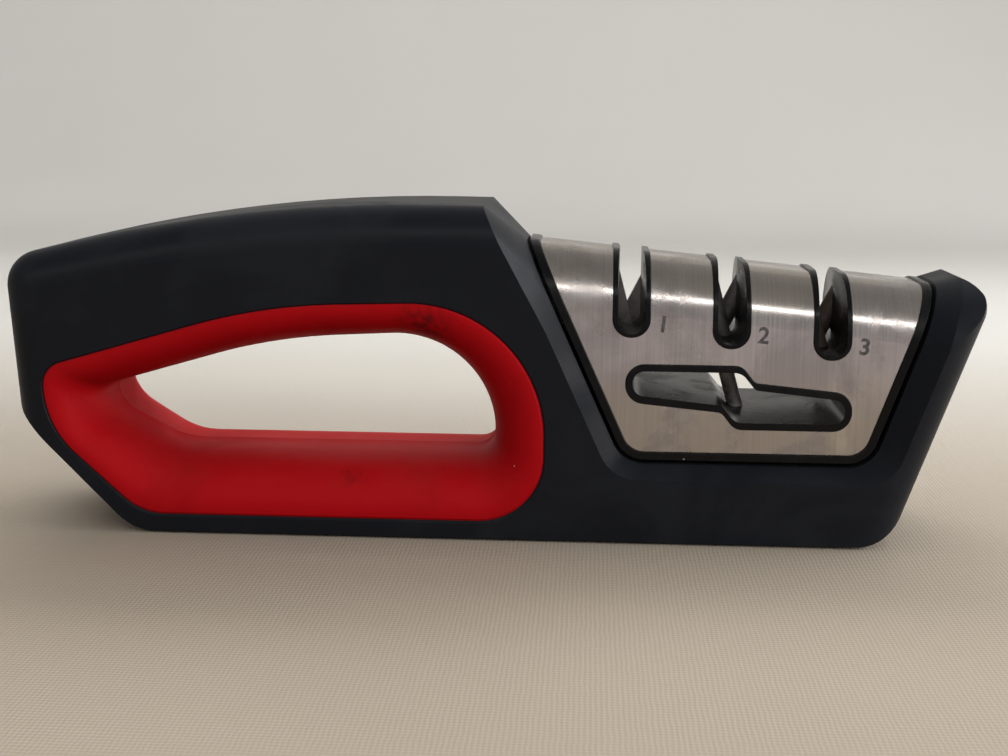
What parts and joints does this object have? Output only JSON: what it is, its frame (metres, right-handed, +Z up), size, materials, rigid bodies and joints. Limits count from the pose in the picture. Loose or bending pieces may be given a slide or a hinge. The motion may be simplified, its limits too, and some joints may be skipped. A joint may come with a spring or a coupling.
{
  "type": "pull-through knife sharpener",
  "caption": "Pull-through knife sharpener with a looped handle, soft red finger-hole liner and lift-out steel-covered sharpening head.",
  "frame": {"origin": "on the table, under the middle of the body's length and width", "axes": "+X from the handle's tail to the nose, +Y from the front face to the back face, +Z up"},
  "size_m": [0.2212, 0.048, 0.0756],
  "materials": {
    "black_plastic": "fine matte grain",
    "core_plastic": "satin",
    "red_rubber": "matte",
    "pad_rubber": "matte",
    "brushed_cover": "fine vertical brushing",
    "screw_steel": "plain",
    "carbide": "ground",
    "diamond_rod": "diamond grit",
    "dark_ceramic": "fine ceramic",
    "brown_ceramic": "fine ceramic"
  },
  "bodies": {
    "body": {"front_shell": "black_plastic", "back_shell": "black_plastic", "front_liner": "red_rubber", "back_liner": "red_rubber", "heel_pad": "pad_rubber", "nose_pad": "pad_rubber", "shell_screws": "screw_steel", "screw_plugs": "pad_rubber"},
    "head": {"steel_cover": "brushed_cover", "front_core": "core_plastic", "back_core": "core_plastic", "core_screws": "screw_steel", "coarse_blade_left": "carbide", "coarse_blade_right": "carbide", "medium_rod_left": "diamond_rod", "medium_rod_right": "diamond_rod", "fine_rod_left": "dark_ceramic", "fine_rod_right": "dark_ceramic", "scissors_rod": "brown_ceramic"}
  },
  "joints": [
    {"name": "head_lift", "type": "slide", "parent": "body", "child": "head", "axis": [0, 0, 1], "range_m": [0, 0.064]}
  ]
}
